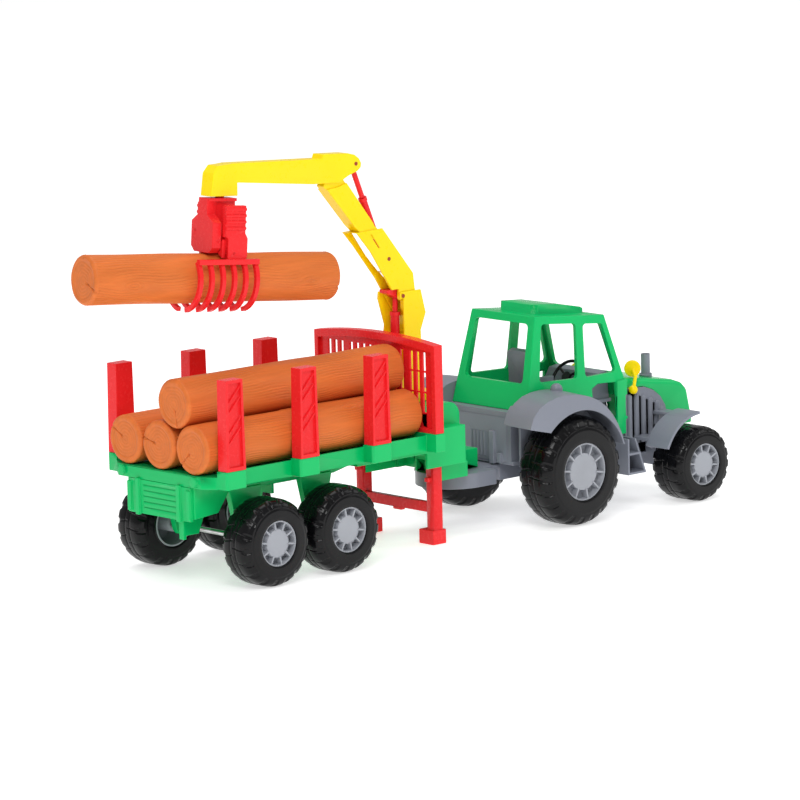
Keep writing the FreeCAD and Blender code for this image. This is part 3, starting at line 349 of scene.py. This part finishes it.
def tyre(node, hub, lugs):
    """Chunky farm tyre: staggered shoulder lugs, thin cross grooves and a mould seam."""
    low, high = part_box(node)
    radius = (high.z - low.z) / 2
    centre = (low + high) / 2
    half = (high.y - low.y) / 2
    wall = radius - hub
    profile = tyre_profile(radius, hub, half)
    angle = np.linspace(0, FULL_TURN, lugs * STEPS_PER_LUG, endpoint=False)[:, None]
    r, a = profile[:, 0][None, :], profile[:, 1][None, :]
    side = np.sign(a) * (np.abs(a) > 1e-9)
    pitch = FULL_TURN / lugs
    swept = angle + 0.22 * pitch * np.abs(a) / half + np.where(side > 0, 0.5 * pitch, 0.0)
    phase = np.abs(((swept / pitch) % 1.0) - 0.5) * 2
    shoulder = step(np.abs(a), 0.50 * half, 0.80 * half) * step(r, hub + 0.60 * wall, hub + 0.76 * wall)
    gap = 1 - step(phase, 0.16 + 0.12 * shoulder, 0.34 + 0.16 * shoulder)
    tread = step(r, radius - 0.12 * wall, radius - 0.02 * wall)
    notch = gap * shoulder * 1.0 * MM * (radius / TRAILER_TYRE) ** 0.5
    groove = (1 - step(phase, 0.03, 0.09)) * tread * 0.5 * MM
    seam = (1 - step(np.abs(np.abs(a) - 0.16 * half), 0.3 * MM, 0.9 * MM)) * tread * 0.45 * MM
    wall_line = (1 - step(np.abs(r - (hub + 0.56 * wall)), 0.2 * MM, 0.7 * MM)) * 0.3 * MM
    radial = r - (notch + groove + seam) + 0 * angle
    across = a - np.sign(a) * (wall_line + gap * shoulder * 0.4 * MM) + 0 * angle
    points = np.stack([centre.x + radial * np.sin(angle), centre.y + across,
                       centre.z + radial * np.cos(angle)], axis=2)
    mesh = grid_mesh("tread_" + node, points, True, True)
    smooth(mesh, 50)
    finish_piece("shaped_" + node, mesh, node)


# ---- logs -------------------------------------------------------------------
KNOTS = 5
GRAIN_LINES = 50            # round the log's girth
WIDE_RIDGES = 7
SKIN_DEPTH = 0.85 * MM      # the skin's tops stay inside the CAD log
GRIPPED_SKIN_DEPTH = 1.3 * MM     # this log swings close by the boom
LOG_AROUND, LOG_LENGTH_STEPS, LOG_EDGE_STEPS, LOG_FACE_STEPS = 288, 240, 6, 26
LOG_EDGE = 3.4 * MM         # radius of the rounded end
FIRST_RING = 0.35           # the innermost ring's share of a step
FACE, ROUND, SKIN = 0, 1, 2


def log_heights(x, theta, radius, seed):
    """Height of the bark skin: flowing grain that parts round knots."""
    rng = np.random.default_rng(seed)
    across = theta * radius
    girth = FULL_TURN * radius
    flow = across + 1.6 * MM * np.sin(x * 46 + rng.uniform(0, 6)) + 1.0 * MM * np.sin(x * 110 + 2 * theta)
    knots = np.zeros_like(flow)
    for knot in range(KNOTS):
        knot_x, knot_y = -0.08 + 0.04 * knot + rng.uniform(-0.012, 0.012), rng.uniform(0, girth)
        dx = (x - knot_x) / 2.6
        dy = (across - knot_y + girth / 2) % girth - girth / 2
        far = dx * dx + dy * dy
        size = rng.uniform(3.4 * MM, 4.6 * MM)
        push = dy * size * size / (far + size * size * 0.55)
        flow = flow - push * 1.1
        ring = np.sqrt(far) / size
        inside = 1 - step(ring, 0.75, 1.0)
        knots += inside * (0.5 + 0.5 * np.cos(ring * 9)) * 0.5 * MM
    lines = 0.5 + 0.5 * np.sin(FULL_TURN * flow / (girth / GRAIN_LINES))
    wide = 0.5 + 0.5 * np.sin(FULL_TURN * flow / (girth / WIDE_RIDGES) + 3 * np.sin(x * 23))
    fade = 0.55 + 0.45 * np.sin(x * 60 + 3 * np.sin(2 * theta) + seed)
    return (lines ** 0.6) * fade * 0.42 * MM + wide * 0.22 * MM + knots


def log_place(node):
    """Middle, axis, side and up of a CAD log, with its half length and its two end radii."""
    co = np.array([v.co for v in NODES[node].data.vertices], float)
    axis = Vector((1, 0, 0))
    for joint in frame["joints"]:
        if joint["child"] == BODY[node]:
            axis = -Vector(joint["axis"])
    axis.normalize()
    middle = (co.max(0) + co.min(0)) / 2
    along = (co - middle) @ np.array(axis)
    half = (along.max() - along.min()) / 2
    middle = middle + np.array(axis) * (along.max() + along.min()) / 2
    side = axis.cross(Vector((0, 0, 1))).normalized()
    up = side.cross(axis).normalized()
    radial = np.hypot((co - middle) @ np.array(side), (co - middle) @ np.array(up))
    ends = radial[along < 0].max(), radial[along > 0].max()
    return middle, np.array(axis), np.array(side), np.array(up), half, ends


def end_rows(half, radius, way):
    """Rings from an end face's centre out over its rounded edge, as (along, radius, kind)."""
    rows = []
    last = LOG_FACE_STEPS - 1 + FIRST_RING
    for k in range(LOG_FACE_STEPS):
        rows.append((way * half, (radius - LOG_EDGE) * (k + FIRST_RING) / last, FACE))
    for k in range(1, LOG_EDGE_STEPS + 1):
        turn = 0.5 * math.pi * k / (LOG_EDGE_STEPS + 1)
        along = half - LOG_EDGE * (1 - math.cos(turn))
        rows.append((way * along, radius - LOG_EDGE + LOG_EDGE * math.sin(turn), ROUND))
    return rows


def log_rows(half, big, small):
    """Rings from one end face's centre over the skin to the other end's centre."""
    skin = []
    for k in range(LOG_LENGTH_STEPS):
        t = k / (LOG_LENGTH_STEPS - 1)
        skin.append((-half + LOG_EDGE + (2 * half - 2 * LOG_EDGE) * t, big + (small - big) * t, SKIN))
    return np.array(end_rows(half, big, -1) + skin + end_rows(half, small, 1)[::-1])


def end_sink(r, big, theta, kind, seed):
    """How deep the end face lies: growth rings, a dished middle and one crack."""
    share = r / big
    wobble = 1 + 0.05 * np.sin(3 * theta + seed) + 0.03 * np.sin(5 * theta + 2 * seed)
    rings = (0.5 + 0.5 * np.sin(FULL_TURN * share * 7.5 * wobble)) ** 2
    crack_at = (1.9 + seed) % 6.28
    off = np.abs((theta - crack_at + math.pi) % FULL_TURN - math.pi) * r
    bend = 0.6 * MM * np.sin(share * 9)
    crack = (1 - step(np.abs(off - bend), 0.2 * MM, 1.1 * MM)) * step(share, 0.12, 0.3)
    on_face = 0.2 * MM * rings + 0.5 * MM * (1 - step(share, 0.70, 0.78)) + 1.1 * MM * crack
    return np.where(kind == FACE, on_face, np.where(kind == ROUND, 0.9 * MM * crack, 0.0))


def log(node, seed):
    """Toy log: embossed grain on the skin, growth rings and a crack in each end."""
    middle, axis, side, up, half, (big, small) = log_place(node)
    rows = log_rows(half, big, small)
    x, r, kind = rows[:, 0][:, None], rows[:, 1][:, None], rows[:, 2][:, None]
    theta = np.linspace(0, FULL_TURN, LOG_AROUND, endpoint=False)[None, :] + 0 * x
    depth = GRIPPED_SKIN_DEPTH if node == "log_gripped" else SKIN_DEPTH
    skin = log_heights(x + 0 * theta, theta, big, seed) - depth
    radius = r + skin * np.where(kind == SKIN, 1.0, np.where(kind == ROUND, 0.7, 0.0))
    sink = end_sink(r, big, theta, kind, seed)
    along = x + np.where(x < 0, sink, -sink)
    points = (middle[None, None, :] + along[..., None] * axis
              + (radius * np.cos(theta))[..., None] * side + (radius * np.sin(theta))[..., None] * up)
    last_ring = (len(rows) - 1) * LOG_AROUND
    caps = (tuple(range(LOG_AROUND)), tuple(last_ring + i for i in reversed(range(LOG_AROUND))))
    mesh = grid_mesh("bark_" + node, points, False, True, caps)
    smooth(mesh, 60)
    finish_piece("shaped_" + node, mesh, node)


# ---- what is rounded and what is cut ------------------------------------------
USUAL_EDGE = 0.3            # mm
EDGE = {"cab_and_hood": 0.7, "lower_body": 0.5, "headboard": 0.4, "steering_wheel": 0.0, "trailer_deck": 0.5,
        "trailer_chassis": 0.5, "grab_frame": 0.4, "support_leg": 0.5, "crane_arm": 0.5, "underframe": 0.5}
LUGS = {"trailer_rear": 18, "trailer_front": 18, "tractor_rear": 22, "tractor_front": 18}
RIM_ROOM = 0.05 * MM        # the tyre's bead stands this far off the rim

# (x, z) outlines in mm, where the photo shows room that the CAD fills
RAIL_ROOM = [(111.5, 62), (188.9, 62), (188.9, 77.5), (111.5, 77.5)]
RAIL_END = [(95, 62), (115, 62), (115, 77.5), (111, 77.5), (95, 74)]
PEDESTAL_REAR_WALL = [(188, 45), (200, 45), (200, 77), (188, 77)]
CROSS_WALL = [(111, 60), (116, 60), (116, 77), (111, 77)]
BOOM_REAR_WEB = [(150, 258), (158, 244), (182, 214), (188.5, 222.5), (190, 232), (172, 258)]
BOOM_PLUG = [(150, 250), (150, 257.6), (169.5, 257.6), (177, 250), (190, 240), (180, 235)]
HITCH_PLATE_CORNER = [(283, 30), (283, 52), (306, 52), (306, 30)]


def both_sides(outline, near, far):
    return [(outline, (-far, -near)), (outline, (near, far))]


CUTS = {
    "trailer_chassis": (both_sides(RAIL_ROOM, 47, 51) + both_sides(RAIL_END, 37, 47.4)
                        + [(PEDESTAL_REAR_WALL, (-46.9, 46.9)), (CROSS_WALL, (-40, 40))]),
    "boom_lower": [(BOOM_REAR_WEB, (-6.1, 6.1))],
    "boom_upper": [(BOOM_PLUG, (-9, 9))],
    "underframe": both_sides(HITCH_PLATE_CORNER, 18, 40),
}


# ---- build ------------------------------------------------------------------
def hub_radius(node):
    """Radius of the rim that a tyre sits on, with a little room."""
    low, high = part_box(node.replace("_tyre_", "_rim_"))
    return (high.z - low.z) / 2 + RIM_ROOM


def build():
    for place, node in enumerate(sorted(NODES)):
        if "_tyre_" in node:
            tyre(node, hub_radius(node), LUGS[node.split("_tyre_")[0]])
        elif node.startswith("log_"):
            log(node, seed=1 + place % 7)
        else:
            moulded(node, EDGE.get(node, USUAL_EDGE) * MM)


# ---- studio -----------------------------------------------------------------
FLOOR_SIZE = 16
FLOOR_GLOW = 0.56
SKY_STRENGTH = 0.45
AIM = Vector((0, 0, 0.08))
LAMPS = [("key", (-1.6, -1.9, 2.3), 1.3, 40.0),       # name, place, size in m, power in W
         ("fill", (2.2, -1.6, 1.5), 1.4, 10.0),
         ("top", (0.1, 0.4, 2.6), 1.8, 26.0)]


def floor():
    """Pale floor that glows a little, so that its far edge melts into the background."""
    bpy.ops.mesh.primitive_grid_add(x_subdivisions=2, y_subdivisions=2, size=FLOOR_SIZE)
    sheet = bpy.context.object
    sheet.name = "floor"
    g = Graph("floor_paper")
    speck = g.noise(900.0, 2.0)
    g.set(Base_Color=g.blend(g.spread(speck, 0.3, 0.7, 0, 1), (0.90, 0.90, 0.90, 1), (0.92, 0.92, 0.92, 1)))
    g.set(Emission_Color=(1.0, 1.0, 1.0, 1), Emission_Strength=FLOOR_GLOW)
    g.set(Roughness=g.spread(speck, 0.3, 0.7, 0.42, 0.5))
    sheet.data.materials.append(g.material)


def lights():
    """Even white sky with three large soft lamps."""
    world = bpy.data.worlds.new("studio")
    bpy.context.scene.world = world
    world.use_nodes = True
    sky = world.node_tree.nodes["Background"]
    sky.inputs["Color"].default_value = (1.0, 1.0, 1.0, 1)
    sky.inputs["Strength"].default_value = SKY_STRENGTH
    for name, place, size, power in LAMPS:
        lamp = bpy.data.objects.new(name, bpy.data.lights.new(name, "AREA"))
        lamp.data.size = size
        lamp.data.energy = power
        lamp.location = place
        lamp.rotation_euler = (AIM - Vector(place)).to_track_quat("-Z", "Y").to_euler()
        bpy.context.scene.collection.objects.link(lamp)


CAMERA_PLACE = (-2.975, -3.2684, 0.861)
CAMERA_TURN, CAMERA_DIP, CAMERA_ROLL = 47.62, 9.58, -1.40       # degrees
LENS, SENSOR = 246.0, 36.0                                      # mm
SIGHT_END = 60.0


def camera():
    """Long lens from behind on the right, a little above the toy."""
    turn, dip, roll = (math.radians(angle) for angle in (CAMERA_TURN, CAMERA_DIP, CAMERA_ROLL))
    forward = Vector((math.cos(turn) * math.cos(dip), math.sin(turn) * math.cos(dip), -math.sin(dip)))
    right = Vector((math.sin(turn), -math.cos(turn), 0))
    up = right.cross(forward)
    right, up = right * math.cos(roll) + up * math.sin(roll), up * math.cos(roll) - right * math.sin(roll)
    cam = bpy.data.objects.new("camera", bpy.data.cameras.new("camera"))
    cam.data.sensor_width = SENSOR
    cam.data.lens = LENS
    cam.data.clip_end = SIGHT_END
    axes = Matrix((right, up, -forward)).transposed()
    cam.matrix_world = Matrix.Translation(CAMERA_PLACE) @ axes.to_4x4()
    bpy.context.scene.collection.objects.link(cam)
    bpy.context.scene.camera = cam


build()
floor()
lights()
camera()
bpy.context.scene.view_settings.view_transform = "Standard"
